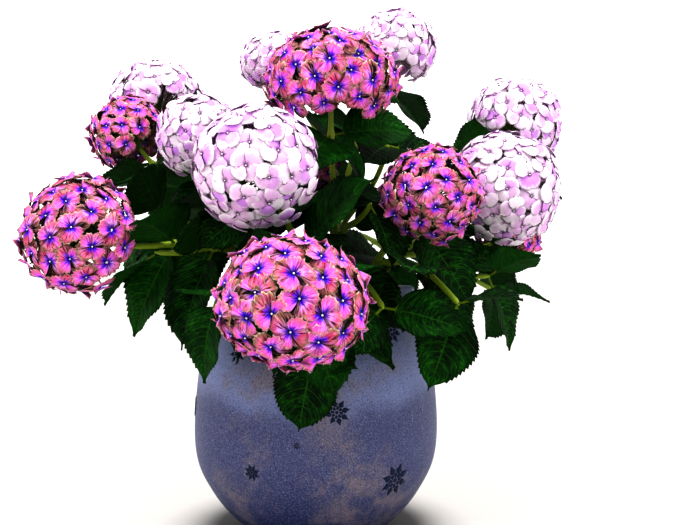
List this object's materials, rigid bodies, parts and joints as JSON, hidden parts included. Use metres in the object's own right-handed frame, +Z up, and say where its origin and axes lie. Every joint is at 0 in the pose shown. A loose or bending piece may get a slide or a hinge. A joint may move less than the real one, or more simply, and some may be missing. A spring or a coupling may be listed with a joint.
{
  "type": "potted hydrangea",
  "caption": "Flowering mophead hydrangea shrub growing in a rounded glazed pot of compost; stands on any flat surface as a decorative plant.",
  "frame": {"origin": "centre of the pot's flat foot, on the surface that it stands on", "axes": "+Z up; -Y towards the side that is seen in the picture; +X to the right of that side"},
  "size_m": [0.7438, 0.7049, 0.7449],
  "materials": {
    "glaze": "glossy speckled blue-grey glaze, rubbed brown in places",
    "compost": "crumbly dark compost",
    "foliage": "dark green veined leaves on light green canes",
    "petals_bicolour": "violet centre through pink to an olive-brown toothed margin",
    "petals_pale": "white tinted lilac-pink, with a smooth margin"
  },
  "bodies": {
    "root": {"pot": "glaze", "compost": "compost", "cane_front": "foliage", "cane_left": "foliage", "cane_left_high": "foliage", "cane_left_back": "foliage", "cane_top": "foliage", "cane_back": "foliage", "cane_right": "foliage", "cane_right_high": "foliage", "cane_right_back": "foliage", "bloom_left": "petals_bicolour", "bloom_left_high": "petals_bicolour", "bloom_top": "petals_bicolour", "bloom_front": "petals_bicolour", "bloom_right": "petals_bicolour", "bloom_middle": "petals_bicolour", "bloom_right_back_low": "petals_bicolour", "bloom_pale_front": "petals_pale", "bloom_pale_left": "petals_pale", "bloom_pale_left_back": "petals_pale", "bloom_pale_top_left": "petals_pale", "bloom_pale_top_right": "petals_pale", "bloom_pale_right": "petals_pale", "bloom_pale_right_back": "petals_pale"}
  },
  "joints": []
}
